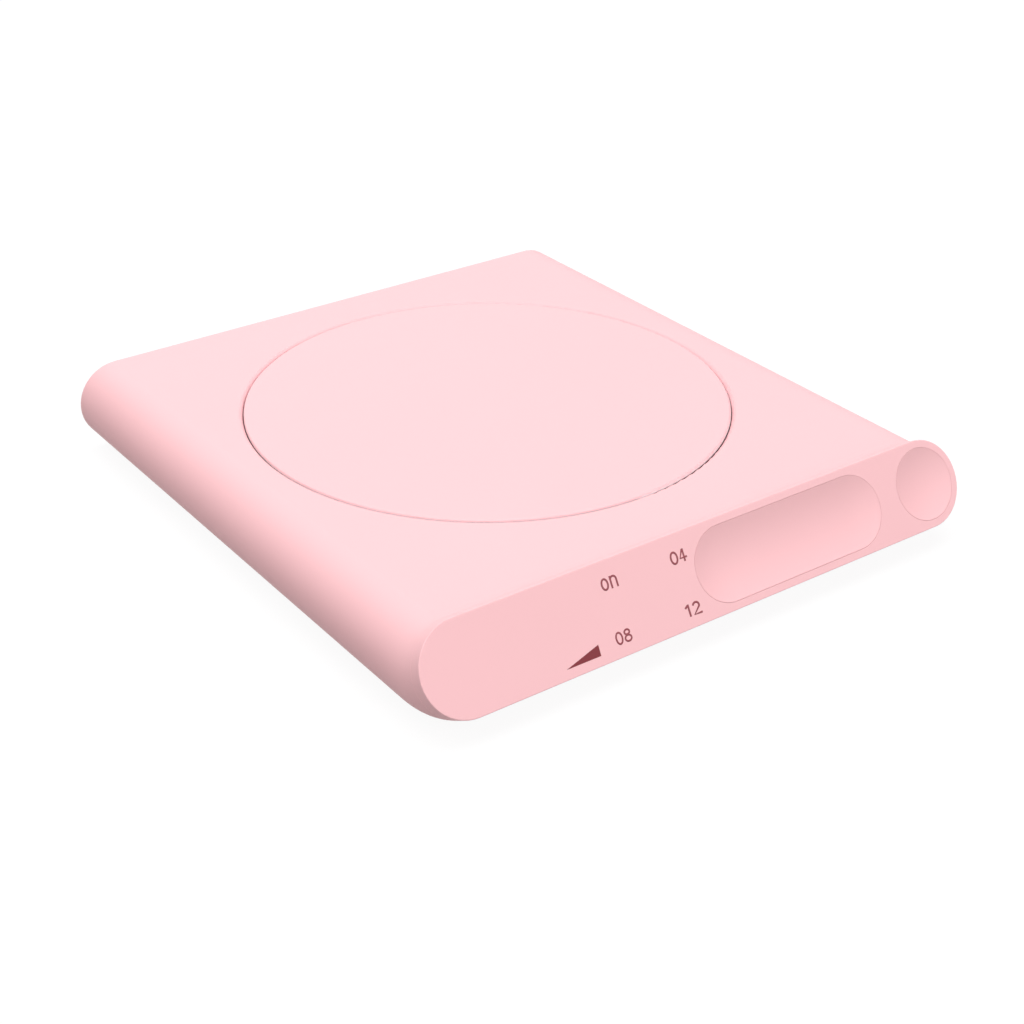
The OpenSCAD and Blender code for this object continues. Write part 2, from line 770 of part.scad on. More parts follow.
module key_board() color(board_green) difference() {
    behind_face(key_board_depth, key_board_depth + board_t)
        translate([(key_board_u + power_u) / 2, 0]) stadium(power_u - key_board_u, key_board_r);
    behind_face(key_board_depth - over, key_board_depth + board_t + over)
        for (u = key_board_screw_u) translate([u, 0]) circle(board_screw_r + pass_gap);
}

module key_board_screws() color(steel) {
    for (u = key_board_screw_u) at_face(key_board_depth + board_t) translate([u, 0, 0])
        screw(board_screw_r, board_t + key_board_bore - tip_gap);
}

module key_switches() color(black) {
    for (u = [power_u, timer_u]) translate([u, 0, 0]) difference() {
        behind_face(switch_top, key_board_depth) square(switch_w, center = true);
        behind_face(switch_top - over, switch_top + switch_well) circle(plunger_r + plunger_gap);
    }
}

module plunger(u) {
    behind_face(plunger_top, plunger_foot) translate([u, 0]) circle(plunger_r);
}

module power_plunger() color("white") plunger(power_u);

module timer_plunger() color("white") plunger(timer_u);

module indicator_leds() color("lightyellow") {
    behind_face(key_board_depth - lamp_h, key_board_depth) on_channels()
        square([lamp_w, lamp_d], center = true);
}

module light_baffle() color("white") behind_face(panel_t, key_board_depth) difference() {
    translate([channel_u[0] - baffle_side, -baffle_v])
        square([lamp_spacing + 2 * baffle_side, 2 * baffle_v]);
    on_channels() circle(channel_r);
}

// Sockets of the flat cable: one behind the key board, one on the main board
module ribbon_sockets() color("ivory") {
    at_face(key_board_depth + board_t + socket_h) translate([ribbon_u, 0, 0])
        block(socket_w, socket_d, socket_h);
    translate([ribbon_u, main_board_y + socket_d / 2, board_top]) block(socket_w, socket_d, socket_h);
}

// The flat cable dips from one socket to the other
module key_ribbon() color("white") {
    start_depth = key_board_depth + board_t + socket_h;
    half = [0, ribbon_t / 2];
    end = [main_board_y, board_top + socket_h / 2];
    low = [(face_point(start_depth, 0)[0] + end[0]) / 2, board_top - socket_h / 2];
    translate([ribbon_u - ribbon_w / 2, 0, 0]) rotate([90, 0, 90]) linear_extrude(ribbon_w) polygon([
        face_point(start_depth, ribbon_t / 2), low + half, end + half,
        end - half, low - half, face_point(start_depth, -ribbon_t / 2)
    ]);
}

// ---- Keys ----------------------------------------------------------------------------------

// Ball or capsule that hollows the finger dish
module dish(length, extra) {
    at_face() translate([0, 0, ball_r - dish_depth]) capsule(length, ball_r + extra);
}

// Dished cap with a skirt, hollow behind the dish, and a post that stands off the plunger
module key_cap(length) {
    difference() {
        behind_face(0, key_skirt) stadium(length, key_r);
        dish(length, 0);
        difference() {
            behind_face(0, key_skirt + over) stadium(length, key_r - key_wall);
            dish(length, key_wall);
        }
    }
    behind_face(post_from, plunger_top) circle(post_r);
}

// Hook behind the panel, at an end of a key: which way it points is -1 or 1
module key_hook(end_u, way) {
    hook_len = key_gap + hook_reach + key_wall / 2;
    behind_face(hook_from, hook_from + hook_t)
        translate([end_u + way * (hook_len - key_wall) / 2, 0])
            square([hook_len, hook_w], center = true);
}

module power_key() color(pink) {
    translate([power_u, 0, 0]) key_cap(0);
    key_hook(power_u - key_r, -1);
}

module timer_key() color(pink) {
    translate([timer_u, 0, 0]) {
        key_cap(timer_len);
        // ribs across the hollow
        for (u = [-timer_len / 4, timer_len / 4]) translate([u, 0, 0])
            behind_face(post_from, key_skirt) square([rib_t, 2 * key_r - key_wall], center = true);
    }
    key_hook(timer_left, -1);
    key_hook(timer_right, 1);
}

// ---- Supply socket -------------------------------------------------------------------------

module inlet_board() color(board_green) difference() {
    translate([0, inlet_board_y + inlet_board_d / 2, board_under])
        block(inlet_board_w, inlet_board_d, board_t);
    on_inlet_screws(board_under - over) cylinder(h = board_t + 2 * over, r = board_screw_r + pass_gap);
}

module inlet_screws() color(steel) {
    on_inlet_screws(board_top) mirror([0, 0, 1]) screw(board_screw_r, board_screw_len);
}

// Places children in the socket: z runs from its closed end to its mouth
module at_inlet() {
    at_flat() translate([0, 0, flat_len - inlet_recess - inlet_len]) children();
}

module inlet_shell() color(steel) at_inlet() difference() {
    linear_extrude(inlet_len) stadium(inlet_w - inlet_h, inlet_h / 2);
    translate([0, 0, inlet_t]) linear_extrude(inlet_len)
        stadium(inlet_w - inlet_h, inlet_h / 2 - inlet_t);
}

module inlet_tongue() color(black) at_inlet() translate([0, 0, inlet_t])
    block(tongue_w, tongue_t, inlet_len - inlet_t - tongue_recess);

// The leads lie on the two boards and run back between them
module supply_leads() color("white") {
    from_y = main_board_y + main_board_d - screw_edge / 2;
    to_y = inlet_board_y + screw_edge;
    translate([supply_lead_x, from_y, board_top + lead_r]) rotate([-90, 0, 0])
        both_sides(lead_space / 2, 0) cylinder(h = to_y - from_y, r = lead_r);
}

housing();
base_cover();
base_screws();
rubber_feet();
heating_plate();
plate_gasket();
heater_film();
insulation_pad();
clamp_plate();
clamp_screws();
temperature_sensor();
thermal_cutout();
heater_leads();
sensor_leads();
main_board();
board_screws();
control_chip();
power_parts();
capacitors();
lead_connectors();
key_board();
key_board_screws();
key_switches();
power_plunger();
timer_plunger();
indicator_leds();
light_baffle();
ribbon_sockets();
key_ribbon();
power_key();
timer_key();
inlet_board();
inlet_screws();
inlet_shell();
inlet_tongue();
supply_leads();
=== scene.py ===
import math

import bmesh
import bpy
from mathutils import Matrix, Vector

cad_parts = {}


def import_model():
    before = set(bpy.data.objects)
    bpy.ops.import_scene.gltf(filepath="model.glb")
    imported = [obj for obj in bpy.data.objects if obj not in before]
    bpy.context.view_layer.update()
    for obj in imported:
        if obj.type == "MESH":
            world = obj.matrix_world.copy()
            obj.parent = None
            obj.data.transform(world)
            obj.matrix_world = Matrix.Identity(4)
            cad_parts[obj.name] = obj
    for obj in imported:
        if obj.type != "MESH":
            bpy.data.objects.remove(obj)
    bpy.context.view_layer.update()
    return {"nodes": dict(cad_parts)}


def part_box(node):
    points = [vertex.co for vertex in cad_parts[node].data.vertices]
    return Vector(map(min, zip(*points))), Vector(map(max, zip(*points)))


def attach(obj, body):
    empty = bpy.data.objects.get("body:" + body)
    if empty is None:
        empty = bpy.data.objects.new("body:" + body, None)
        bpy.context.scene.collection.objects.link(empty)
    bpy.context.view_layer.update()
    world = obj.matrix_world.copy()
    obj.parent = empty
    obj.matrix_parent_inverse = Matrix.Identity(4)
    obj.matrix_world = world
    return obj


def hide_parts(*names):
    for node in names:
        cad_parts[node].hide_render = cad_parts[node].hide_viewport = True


# Looks of the electric mug warmer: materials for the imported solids, the printed marks, the socket's contacts,
# and a floor, light and camera as in the photograph. Lengths are in metres unless a comment gives them in mm.

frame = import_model()
nodes = frame["nodes"]
MM = 0.001

# The control panel: its middle in mm, how far it leans back, and its placing as a plane with x along it,
# y up it and z out of it.
PANEL_CENTRE = (0, -55.940, 11.391)
PANEL_LEAN = 30.5
ON_PANEL = (Matrix.Translation(Vector(PANEL_CENTRE) * MM)
            @ Matrix.Rotation(math.radians(90 - PANEL_LEAN), 4, "X"))

# In mm: the heating plate's middle along y, the round key's middle along the panel, and its dish's depth.
PLATE_Y = 5.8
KEY_X = 47.4
DISH_DEPTH = 1.0


# ---- Small helpers ---------------------------------------------------------------------------

def linear(code):
    """An sRGB hex colour as linear RGBA."""
    values = [int(code[i:i + 2], 16) / 255 for i in (0, 2, 4)]
    return [v / 12.92 if v <= 0.04045 else ((v + 0.055) / 1.055) ** 2.4 for v in values] + [1.0]


def add(tree, kind, links=None, **settings):
    """Adds a node with its settings; each entry of links gives an input a value or another node's output."""
    made = tree.nodes.new(kind)
    for name, value in settings.items():
        setattr(made, name, value)
    for socket, value in (links or {}).items():
        if isinstance(value, bpy.types.NodeSocket):
            tree.links.new(value, made.inputs[socket])
        else:
            made.inputs[socket].default_value = value
    return made


def put(name, data):
    """Puts an object with that data into the scene."""
    obj = bpy.data.objects.new(name, data)
    bpy.context.scene.collection.objects.link(obj)
    return obj


def per_mm(size):
    """Scale of a noise texture whose features are that many millimetres across."""
    return 1 / (size * MM)


def bands_per_mm(pitch):
    """Scale of a wave texture whose bands repeat every so many millimetres. At scale 1 Blender repeats them
    every tau / 20."""
    return math.tau / 20 / (pitch * MM)


# ---- Materials -------------------------------------------------------------------------------

def finish(name, colour, roughness, shade=0.0, shade_size=20.0, grain=0.0, grain_size=0.5, polish=0.0,
           **sockets):
    """A material in one colour. shade is how far its tone drifts over shade_size mm, grain is the height in
    mm of a bumpy texture of grain_size mm, and polish is how far that texture changes the roughness."""
    mat = bpy.data.materials.new(name)
    mat.use_nodes = True
    tree = mat.node_tree
    shader = tree.nodes["Principled BSDF"]
    shader.inputs["Base Color"].default_value = linear(colour)
    shader.inputs["Roughness"].default_value = roughness
    for socket, value in sockets.items():
        shader.inputs[socket.replace("_", " ")].default_value = value
    place = add(tree, "ShaderNodeTexCoord").outputs["Object"]
    drift = add(tree, "ShaderNodeTexNoise", {"Vector": place, "Scale": per_mm(shade_size), "Detail": 3.0})
    tone = add(tree, "ShaderNodeMapRange", {"Value": drift.outputs["Fac"], "From Min": 0.25, "From Max": 0.75,
                                            "To Min": 1 - shade, "To Max": 1 + shade})
    tint = add(tree, "ShaderNodeHueSaturation", {"Value": tone.outputs["Result"], "Color": linear(colour)})
    tree.links.new(tint.outputs["Color"], shader.inputs["Base Color"])
    fine = add(tree, "ShaderNodeTexNoise", {"Vector": place, "Scale": per_mm(grain_size), "Detail": 2.0})
    bump = add(tree, "ShaderNodeBump", {"Height": fine.outputs["Fac"], "Distance": grain * MM})
    tree.links.new(bump.outputs["Normal"], shader.inputs["Normal"])
    gloss = add(tree, "ShaderNodeMapRange", {"Value": fine.outputs["Fac"], "From Min": 0.3, "From Max": 0.7,
                                             "To Min": roughness - polish, "To Max": roughness + polish})
    tree.links.new(gloss.outputs["Result"], shader.inputs["Roughness"])
    return mat


def patterned(mat, pattern, colour, from_min, from_max, height):
    """Lays a second colour on a finished material where a pattern nears from_max, raised by height mm."""
    tree = mat.node_tree
    shader = tree.nodes["Principled BSDF"]
    under = shader.inputs["Base Color"].links[0].from_socket
    mask = add(tree, "ShaderNodeMapRange", {"Value": pattern, "From Min": from_min, "From Max": from_max})
    mix = add(tree, "ShaderNodeMix", {"Factor": mask.outputs["Result"]}, data_type="RGBA")
    tree.links.new(under, mix.inputs["A"])
    mix.inputs["B"].default_value = linear(colour)
    tree.links.new(mix.outputs["Result"], shader.inputs["Base Color"])
    raised = add(tree, "ShaderNodeBump", {"Height": mask.outputs["Result"], "Distance": height * MM,
                                          "Normal": shader.inputs["Normal"].links[0].from_socket})
    tree.links.new(raised.outputs["Normal"], shader.inputs["Normal"])


def placed(mat, y=0.0):
    """Object coordinates, moved so that the pattern's middle is at that y in mm."""
    tree = mat.node_tree
    return add(tree, "ShaderNodeMapping", {
        "Vector": add(tree, "ShaderNodeTexCoord").outputs["Object"],
        "Location": (0.0, -y * MM, 0.0)}).outputs["Vector"]


PINK = "FEC7CB"

# ABS moulded in a spark-eroded tool: soft, nearly matt sheen with no sharp reflections. The tool's texture is
# about 0.05 mm across and is drawn ten times as coarse, so that it breaks up the sheen close by.
moulded_abs = finish("moulded ABS", PINK, 0.62, shade=0.006, grain=0.004, grain_size=0.5, polish=0.04,
                     IOR=1.53)

# The keys are the same plastic from a finer tool: a little smoother, as fingers soon polish them. Their colour
# is a shade darker than the housing's: painted shade that darkens the dishes.
key_abs = finish("moulded ABS, fine tool", "FCC4C8", 0.55, shade=0.006, grain=0.003, grain_size=0.4,
                 polish=0.03, IOR=1.53)

# Aluminium with a baked non-stick coating: an even satin film with a faint orange peel of about 1 mm. Over the
# edge its colour turns greyer, and 0.5 mm down the rim it is dark grey. This is painted shade, so that the gap
# round the plate reads as a grey shadow line.
coated_aluminium = finish("coated aluminium", PINK, 0.58, shade=0.005, shade_size=30, grain=0.004,
                          grain_size=1.1, polish=0.03, IOR=1.5)
# Heights between which the rim's painted shade greys, and between which it turns dark grey. The plate's top is
# at 16.2 mm.
GREY_SHADE_STARTS, GREY_SHADE_FULL = 16.00 * MM, 15.86 * MM
DARK_SHADE_STARTS, DARK_SHADE_FULL = 15.70 * MM, 15.62 * MM
rim_height = add(coated_aluminium.node_tree, "ShaderNodeSeparateXYZ", {
    "Vector": placed(coated_aluminium)}).outputs["Z"]
# Painted shade: a greyer band over the plate's edge, then dark grey down its rim, where the gap is.
patterned(coated_aluminium, rim_height, "E9DBDF", GREY_SHADE_STARTS, GREY_SHADE_FULL, 0.0)
patterned(coated_aluminium, rim_height, "3E393A", DARK_SHADE_STARTS, DARK_SHADE_FULL, 0.02)

# Moulded rubber: dull black with a dusty bloom that lightens it in places.
moulded_rubber = finish("moulded nitrile rubber", "2B2B2C", 0.82, shade=0.15, shade_size=3, grain=0.01,
                        grain_size=0.3, polish=0.06, IOR=1.52)

# Silicone ring, off-white and slightly waxy.
silicone = finish("moulded silicone", "E6E1DF", 0.55, shade=0.02, shade_size=6, grain=0.004, grain_size=0.4,
                  polish=0.04, IOR=1.41)

# Zinc-plated steel screws: bright, with a passivation film that clouds the shine in patches.
zinc_plate = finish("zinc-plated steel", "C6CACF", 0.3, shade=0.05, shade_size=1.5, grain=0.003,
                    grain_size=0.2, polish=0.08, Metallic=1.0)

# Cold-rolled steel sheet: grey, with faint streaks along the rolling direction.
steel_sheet = finish("cold-rolled steel sheet", "BEC1C5", 0.38, shade=0.03, shade_size=8, grain=0.003,
                     grain_size=0.3, polish=0.06, Metallic=1.0)
patterned(steel_sheet, add(steel_sheet.node_tree, "ShaderNodeTexWave", {
    "Vector": placed(steel_sheet), "Scale": bands_per_mm(0.8), "Distortion": 3.0, "Detail": 2.0},
    bands_direction="Y").outputs["Fac"], "B2B5B9", 0.4, 1.0, 0.002)

# Nickel-plated shell of the socket: warmer and smoother than the zinc.
nickel_plate = finish("nickel-plated brass", "CFCBC2", 0.24, shade=0.03, shade_size=2, grain=0.001,
                      grain_size=0.2, polish=0.05, Metallic=1.0)

# Polyimide film heater: amber and glossy, with the etched track showing as rings under the film.
polyimide = finish("polyimide film", "C9862F", 0.24, shade=0.04, shade_size=12, grain=0.004, grain_size=1.5,
                   polish=0.05, IOR=1.7)
patterned(polyimide, add(polyimide.node_tree, "ShaderNodeTexWave", {
    "Vector": placed(polyimide, y=PLATE_Y), "Scale": bands_per_mm(2.4)},
    wave_type="RINGS", rings_direction="Z").outputs["Fac"], "7E4A1E", 0.5, 0.6, 0.02)

# Glass-fibre felt: white, dull and hairy; the fibres are drawn as 0.5 mm flocks.
glass_felt = finish("glass-fibre felt", "EFECE2", 0.95, shade=0.05, shade_size=2, grain=0.1, grain_size=0.5,
                    polish=0.03, Sheen_Weight=0.3)

# Glass-epoxy boards under green solder mask: glossy, with the copper tracks standing out a shade lighter.
solder_mask = finish("green solder mask", "1E6A43", 0.3, shade=0.06, shade_size=5, grain=0.003,
                     grain_size=0.6, polish=0.05, IOR=1.55)
patterned(solder_mask, add(solder_mask.node_tree, "ShaderNodeTexBrick", {
    "Vector": placed(solder_mask), "Scale": per_mm(1.0), "Mortar Size": 0.16, "Mortar Smooth": 0.1,
    "Brick Width": 2.6, "Row Height": 1.1}).outputs["Fac"], "35855B", 0.3, 0.6, 0.03)

# Epoxy moulding compound of chips and switches: dark grey, evenly matt.
moulding_compound = finish("epoxy moulding compound", "2C2C2E", 0.6, shade=0.08, shade_size=1, grain=0.008,
                           grain_size=0.2, polish=0.06, IOR=1.55)

# Natural nylon of plungers and connectors: off-white, satin.
nylon = finish("moulded nylon", "ECE9E0", 0.45, shade=0.015, shade_size=4, grain=0.004, grain_size=0.4,
               polish=0.04, IOR=1.53)

# Silicone lead sheath: soft white with a dry surface.
sheath = finish("extruded silicone sheath", "E9E6DD", 0.6, shade=0.03, shade_size=3, grain=0.004,
                grain_size=0.3, polish=0.05, IOR=1.41)

# Flat cable: white polyester with its tinned conductors showing as grey lines 1 mm apart.
flat_cable = finish("laminated flat cable", "F0EEE8", 0.35, shade=0.01, shade_size=4, grain=0.002,
                    grain_size=0.5, polish=0.04, IOR=1.57)
patterned(flat_cable, add(flat_cable.node_tree, "ShaderNodeTexWave", {
    "Vector": placed(flat_cable), "Scale": bands_per_mm(1.0)}, bands_direction="X").outputs["Fac"],
    "B9B6AE", 0.6, 0.75, 0.02)

# Lamp: clear resin cast over a pale yellow phosphor.
lamp_resin = finish("cast silicone resin", "F3EBC4", 0.15, shade=0.03, shade_size=0.6, grain=0.002,
                    grain_size=0.3, polish=0.03, IOR=1.5)

# Gold flash on the socket's contacts.
gold_flash = finish("gold-flashed bronze", "D9B166", 0.25, shade=0.03, shade_size=0.5, grain=0.001,
                    grain_size=0.1, polish=0.05, Metallic=1.0)

# Pad-printed ink: a thin flat film, a little glossier than the plastic under it. Fine strokes take less ink
# than a solid area, so the plastic lightens them.
printed_ink = finish("pad-printed ink", "802B33", 0.5, shade=0.02, shade_size=1, grain=0.001,
                     grain_size=0.2, polish=0.04, IOR=1.4)
stroke_ink = finish("pad-printed ink, fine strokes", "984D54", 0.5, shade=0.02, shade_size=1, grain=0.001,
                    grain_size=0.2, polish=0.04, IOR=1.4)

FINISHES = {
    moulded_abs: ("housing", "base_cover"),
    key_abs: ("power_key", "timer_key"),
    coated_aluminium: ("heating_plate",),
    moulded_rubber: ("rubber_feet",),
    silicone: ("plate_gasket",),
    zinc_plate: ("base_screws", "clamp_screws", "board_screws", "key_board_screws", "inlet_screws"),
    steel_sheet: ("clamp_plate", "thermal_cutout"),
    nickel_plate: ("inlet_shell",),
    polyimide: ("heater_film",),
    glass_felt: ("insulation_pad",),
    solder_mask: ("main_board", "key_board", "inlet_board"),
    moulding_compound: ("temperature_sensor", "control_chip", "power_parts", "capacitors", "key_switches",
                        "inlet_tongue"),
    nylon: ("power_plunger", "timer_plunger", "lead_connectors", "light_baffle", "ribbon_sockets"),
    sheath: ("heater_leads", "sensor_leads", "supply_leads"),
    flat_cable: ("key_ribbon",),
    lamp_resin: ("indicator_leds",),
}
for material, names in FINISHES.items():
    for name in names:
        nodes[name].material_slots[0].material = material


# ---- Round key -------------------------------------------------------------------------------

# The most area in square metres that a face with no area may have, and how near a corner is to the middle.
NO_AREA = 1e-13
SAME_POINT = 0.01 * MM


def power_cap():
    """The round key's own mesh, shaded evenly at the middle of its dish: faces with no area go, and those
    that meet there get one normal, straight out of the panel."""
    middle = ON_PANEL @ (Vector((KEY_X, 0, -DISH_DEPTH)) * MM)
    out = ON_PANEL.to_3x3() @ Vector((0, 0, 1))
    mesh = nodes["power_key"].data.copy()
    shape = bmesh.new()
    shape.from_mesh(mesh)
    flat = [face for face in shape.faces if face.calc_area() < NO_AREA]
    bmesh.ops.delete(shape, geom=flat, context="FACES_ONLY")
    shape.to_mesh(mesh)
    shape.free()
    normals = [corner.vector.copy() for corner in mesh.corner_normals]
    for corner in mesh.loops:
        if (mesh.vertices[corner.vertex_index].co - middle).length < SAME_POINT:
            normals[corner.index] = out
    mesh.normals_split_custom_set(normals)
    piece = put("power_cap", mesh)
    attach(piece, "power_button")
    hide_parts("power_key")


power_cap()


# ---- Pieces made with Geometry Nodes ---------------------------------------------------------

def new_tree(name, inputs):
    """A Geometry Nodes tree with the given inputs, name to socket type. Returns it with its input node."""
    tree = bpy.data.node_groups.new(name, "GeometryNodeTree")
    tree.interface.new_socket("Geometry", in_out="INPUT", socket_type="NodeSocketGeometry")
    for label, kind in inputs.items():
        tree.interface.new_socket(label, in_out="INPUT", socket_type=kind)
    tree.interface.new_socket("Geometry", in_out="OUTPUT", socket_type="NodeSocketGeometry")
    return tree, add(tree, "NodeGroupInput").outputs


def grow(name, source, tree, values, body):
    """Runs a tree on an object's data with the given input values and keeps the result as a plain mesh."""
    obj = put(name, source)
    modifier = obj.modifiers.new("grow", "NODES")
    modifier.node_group = tree
    for item in tree.interface.items_tree:
        if item.item_type == "SOCKET" and item.in_out == "INPUT" and item.name in values:
            modifier[item.identifier] = values[item.name]
    shape = obj.evaluated_get(bpy.context.evaluated_depsgraph_get())
    mesh = bpy.data.meshes.new_from_object(shape)
    bpy.data.objects.remove(obj)
    piece = put(name, mesh)
    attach(piece, body)
    return piece


def stroke_tree():
    """A tree that sweeps a flat film of ink along strokes drawn in mm, welds them where they cross, and
    scales them to metres."""
    tree, given = new_tree("printed strokes", {
        "Stroke width": "NodeSocketFloat", "Film": "NodeSocketFloat", "Ink": "NodeSocketMaterial"})
    section = add(tree, "GeometryNodeCurvePrimitiveQuadrilateral",
                  {"Width": given["Stroke width"], "Height": given["Film"]})
    level = add(tree, "GeometryNodeSetCurveNormal", {"Curve": given["Geometry"]}, mode="Z_UP")
    swept = add(tree, "GeometryNodeCurveToMesh", {
        "Curve": level.outputs["Curve"], "Profile Curve": section.outputs["Curve"], "Fill Caps": True})
    welded = add(tree, "GeometryNodeMeshBoolean", {
        "Mesh 2": swept.outputs["Mesh"], "Self Intersection": True}, operation="UNION", solver="EXACT")
    scaled = add(tree, "GeometryNodeTransform", {"Geometry": welded.outputs["Mesh"], "Scale": (MM, MM, MM)})
    real = add(tree, "GeometryNodeRealizeInstances", {"Geometry": scaled.outputs["Geometry"]})
    inked = add(tree, "GeometryNodeSetMaterial", {
        "Geometry": real.outputs["Geometry"], "Material": given["Ink"]})
    add(tree, "NodeGroupOutput", {"Geometry": inked.outputs["Geometry"]})
    return tree


def contact_tree():
    """A tree that makes a row of thin strips on each face of the socket's tongue."""
    tree, given = new_tree("socket contacts", {
        "Count": "NodeSocketInt", "Pitch": "NodeSocketFloat", "Strip": "NodeSocketVector",
        "Middle": "NodeSocketVector", "Apart": "NodeSocketVector", "Metal": "NodeSocketMaterial"})
    spread = add(tree, "ShaderNodeCombineXYZ", {"X": given["Pitch"]})
    row = add(tree, "GeometryNodeMeshLine", {"Count": given["Count"], "Offset": spread.outputs["Vector"]})
    box = add(tree, "GeometryNodeMeshCube", {"Size": given["Strip"]})
    strips = add(tree, "GeometryNodeInstanceOnPoints", {
        "Points": row.outputs["Mesh"], "Instance": box.outputs["Mesh"]})
    faces = []
    for sign in (-0.5, 0.5):
        shift = add(tree, "ShaderNodeVectorMath", {0: given["Apart"], "Scale": sign}, operation="SCALE")
        start = add(tree, "ShaderNodeVectorMath", {0: given["Middle"], 1: shift.outputs["Vector"]},
                    operation="ADD")
        faces.append(add(tree, "GeometryNodeTransform", {
            "Geometry": strips.outputs["Instances"], "Translation": start.outputs["Vector"]}))
    both = add(tree, "GeometryNodeJoinGeometry")
    for face in faces:
        tree.links.new(face.outputs["Geometry"], both.inputs["Geometry"])
    real = add(tree, "GeometryNodeRealizeInstances", {"Geometry": both.outputs["Geometry"]})
    plated = add(tree, "GeometryNodeSetMaterial", {
        "Geometry": real.outputs["Geometry"], "Material": given["Metal"]})
    add(tree, "NodeGroupOutput", {"Geometry": plated.outputs["Geometry"]})
    return tree


# ---- Printed marks on the panel --------------------------------------------------------------

# Width of each mark's strokes, thickness of the ink, and how near two points of a stroke are one, in mm, and
# the most that a sharp corner's point is widened.
STROKE_WIDTHS = {"mark_on": 0.32, "mark_04": 0.33, "mark_08": 0.3, "mark_12": 0.345}
FILM = 0.014
JOINED = 1e-6
WIDEST_CORNER = 1.8


def oval(x, y, rx, ry, start=0.0, end=360.0, steps=32):
    """Points along an ellipse or a part of it, anticlockwise from start to end in degrees."""
    return [(x + rx * math.cos(a), y + ry * math.sin(a))
            for a in (math.radians(start + (end - start) * i / steps) for i in range(steps + 1))]


def zero(x, y, rx, ry):
    """The one stroke of a nought or a small o."""
    return [oval(x, y, rx, ry)]


# Each mark is a list of strokes, drawn in mm on the panel. A stroke that ends where it starts is closed.
MARKS = {
    "mark_on": zero(-20.31, 3.905, 0.56, 0.835) + [
        [(-19.12, 2.93), (-19.12, 4.88)],
        [(-19.12, 4.18)] + oval(-18.585, 4.205, 0.535, 0.535, 180, 0, 16) + [(-18.05, 2.93)]],
    "mark_04": zero(-6.66, 3.79, 0.61, 0.91) + [
        [(-4.76, 2.74), (-4.76, 4.79)],
        [(-4.84, 4.71), (-5.57, 3.39), (-4.21, 3.39)]],
    "mark_08": zero(-20.64, -4.585, 0.56, 0.885) + [
        oval(-19.01, -4.07, 0.47, 0.38), oval(-19.01, -5.04, 0.58, 0.47)],
    "mark_12": [
        [(-6.78, -5.75), (-6.78, -3.75)],
        [(-6.81, -3.88), (-7.43, -4.28)],
        oval(-5.28, -4.37, 0.6, 0.53, 165, -25, 16) + [(-5.96, -5.66), (-4.38, -5.66)]],
}
# Corners of the wedge, in mm on the panel.
WEDGE = [(-31.2, -5.98), (-24.65, -6.02), (-24.6, -4.24)]


def stroke_curve(name, strokes):
    """The strokes as straight-line splines. A corner's point is widened to keep the ink's width there."""
    curve = bpy.data.curves.new(name, "CURVE")
    curve.dimensions = "3D"
    for points in strokes:
        closed = math.dist(points[0], points[-1]) < JOINED
        points = points[:-1] if closed else points
        spline = curve.splines.new("POLY")
        spline.points.add(len(points) - 1)
        spline.use_cyclic_u = closed
        for i, (x, y) in enumerate(points):
            before, after = points[i - 1], points[(i + 1) % len(points)]
            turn = 0.0
            if closed or 0 < i < len(points) - 1:
                way = Vector((x - before[0], y - before[1]))
                turn = way.angle(Vector((after[0] - x, after[1] - y)))
            spline.points[i].co = (x, y, FILM / 2, 1)
            spline.points[i].radius = min(1 / math.cos(turn / 2), WIDEST_CORNER)
    return curve


strokes = stroke_tree()
for name, lines in MARKS.items():
    piece = grow(name, stroke_curve(name, lines), strokes,
                 {"Stroke width": STROKE_WIDTHS[name], "Film": FILM, "Ink": stroke_ink}, "casing")
    piece.data.transform(ON_PANEL)


def wedge():
    """The solid wedge at the left of the marks, a printed film as they are."""
    low = [Vector((x, y, 0)) * MM for x, y in WEDGE]
    high = [point + Vector((0, 0, FILM * MM)) for point in low]
    mesh = bpy.data.meshes.new("mark_wedge")
    mesh.from_pydata(low + high, [], [(2, 1, 0), (3, 4, 5), (0, 1, 4, 3), (1, 2, 5, 4), (2, 0, 3, 5)])
    mesh.transform(ON_PANEL)
    mesh.materials.append(printed_ink)
    piece = put("mark_wedge", mesh)
    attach(piece, "casing")


wedge()


# ---- Contacts on the socket's tongue ---------------------------------------------------------

def contacts():
    """Twelve gold strips on each face of the tongue, which start a little behind its tip."""
    count, pitch, from_tip = 12, 0.5 * MM, 0.5 * MM
    strip = Vector((0.25, 2.4, 0.03)) * MM
    low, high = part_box("inlet_tongue")
    middle = (low + high) / 2
    start = Vector((middle.x - (count - 1) * pitch / 2, high.y - from_tip - strip.y / 2, middle.z))
    seed = bpy.data.meshes.new("inlet_contacts")
    grow("inlet_contacts", seed, contact_tree(), {
        "Count": count, "Pitch": pitch, "Strip": strip, "Middle": start,
        "Apart": (0.0, 0.0, high.z - low.z), "Metal": gold_flash}, "casing")


contacts()


# ---- Floor, light and camera -----------------------------------------------------------------

def seen_directly(tree):
    """1 for rays from the camera and for those that gloss or glass sends on, else 0."""
    path = add(tree, "ShaderNodeLightPath").outputs
    seen = add(tree, "ShaderNodeMath", {0: path["Is Camera Ray"], 1: path["Is Glossy Ray"]},
               operation="MAXIMUM")
    return add(tree, "ShaderNodeMath", {0: seen.outputs[0], 1: path["Is Transmission Ray"]},
               operation="MAXIMUM").outputs[0]


# What the floor throws back onto the object, and what the camera sees: a little paint that takes the
# shadow, and a glow that makes up the rest of the white.
FLOOR_BOUNCE = (0.35, 0.35, 0.35, 1)
FLOOR_SHADOWED = (0.1, 0.1, 0.1, 1)
FLOOR_GLOW = 0.92


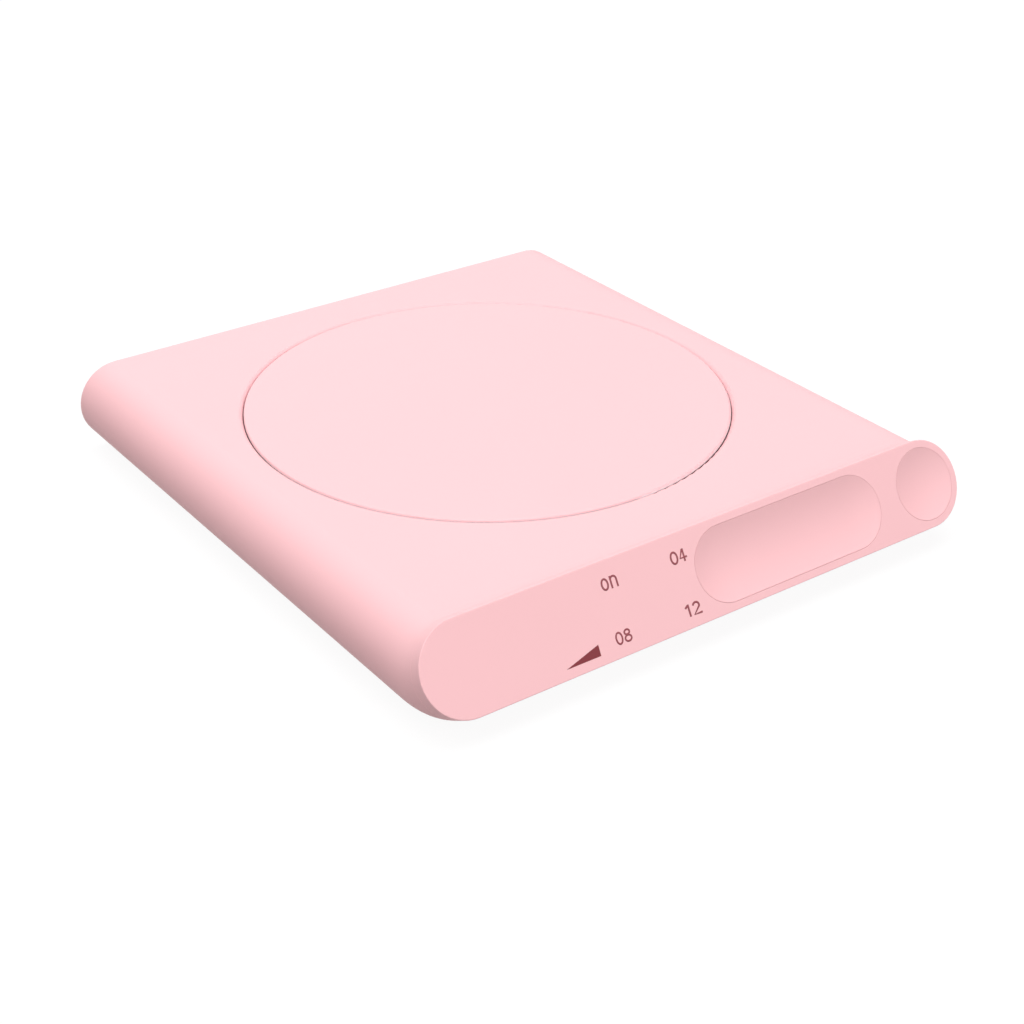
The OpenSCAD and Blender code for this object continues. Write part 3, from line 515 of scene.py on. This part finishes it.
def floor():
    """Pale floor that the camera sees as white, but for the object's shadow. It ends where the lamps still
    light it, so that it runs into the white round it."""
    half = 1.4
    mesh = bpy.data.meshes.new("floor")
    mesh.from_pydata([(-half, -half, 0), (half, -half, 0), (half, half, 0), (-half, half, 0)], [],
                     [(0, 1, 2, 3)])
    obj = put("floor", mesh)
    mat = bpy.data.materials.new("matt floor paint")
    mat.use_nodes = True
    tree = mat.node_tree
    tree.nodes.clear()
    bounce = add(tree, "ShaderNodeBsdfDiffuse", {"Color": FLOOR_BOUNCE})
    shadowed = add(tree, "ShaderNodeBsdfDiffuse", {"Color": FLOOR_SHADOWED})
    white = add(tree, "ShaderNodeEmission", {"Strength": FLOOR_GLOW})
    backdrop = add(tree, "ShaderNodeAddShader", {0: shadowed.outputs[0], 1: white.outputs[0]})
    mix = add(tree, "ShaderNodeMixShader", {
        0: seen_directly(tree), 1: bounce.outputs[0], 2: backdrop.outputs[0]})
    add(tree, "ShaderNodeOutputMaterial", {"Surface": mix.outputs[0]})
    mesh.materials.append(mat)


def world(level):
    """Even light of that level from all round; the camera and reflections see white."""
    made = bpy.data.worlds.new("studio")
    bpy.context.scene.world = made
    made.use_nodes = True
    tree = made.node_tree
    tree.nodes.clear()
    strength = add(tree, "ShaderNodeMapRange", {
        "Value": seen_directly(tree), "To Min": level, "To Max": 1.0})
    background = add(tree, "ShaderNodeBackground", {
        "Color": (1, 1, 1, 1), "Strength": strength.outputs["Result"]})
    add(tree, "ShaderNodeOutputWorld", {"Surface": background.outputs[0]})


SOFT_BOX_SIDE = 1.8


def soft_box(name, place, power):
    """A square lamp of that power in watts, which faces the object."""
    data = bpy.data.lights.new(name, "AREA")
    data.shape = "SQUARE"
    data.size = SOFT_BOX_SIDE
    data.energy = power
    obj = put(name, data)
    obj.location = place
    obj.rotation_euler = (-Vector(place)).to_track_quat("-Z", "Y").to_euler()
    obj.visible_camera = False


# The camera that was fitted to the photograph: azimuth, elevation and roll in degrees, place in mm, and lens
# and sensor width in Blender's own mm.
CAMERA_ANGLES = (35.803, 29.680, 0.095)
CAMERA_PLACE = (-172.58, -240.98, 164.62)
CAMERA_LENS, CAMERA_SENSOR = 65.67, 36


def camera():
    """Puts the fitted camera into the scene, turned about its line of sight by its roll."""
    azimuth, elevation, roll = (math.radians(a) for a in CAMERA_ANGLES)
    ahead = Vector((math.sin(azimuth) * math.cos(elevation), math.cos(azimuth) * math.cos(elevation),
                    -math.sin(elevation)))
    right = Vector((math.cos(azimuth), -math.sin(azimuth), 0))
    up = right.cross(ahead)
    right, up = right * math.cos(roll) + up * math.sin(roll), up * math.cos(roll) - right * math.sin(roll)
    data = bpy.data.cameras.new("camera")
    data.sensor_width = CAMERA_SENSOR
    data.lens = CAMERA_LENS
    data.clip_start, data.clip_end = 0.01, 20
    obj = put("camera", data)
    obj.matrix_world = Matrix.Translation(Vector(CAMERA_PLACE) * MM) @ Matrix(
        (right, up, -ahead)).transposed().to_4x4()
    bpy.context.scene.camera = obj


floor()
world(0.3)
soft_box("top light", (0.0, 0.0, 2.6), 39)
soft_box("left light", (-1.5, 0.0, 2.1), 18)
soft_box("front light", (0.37, -2.3, 1.0), 20)
soft_box("back light", (0.5, 2.2, 1.1), 10)
camera()
bpy.context.scene.view_settings.view_transform = "Standard"
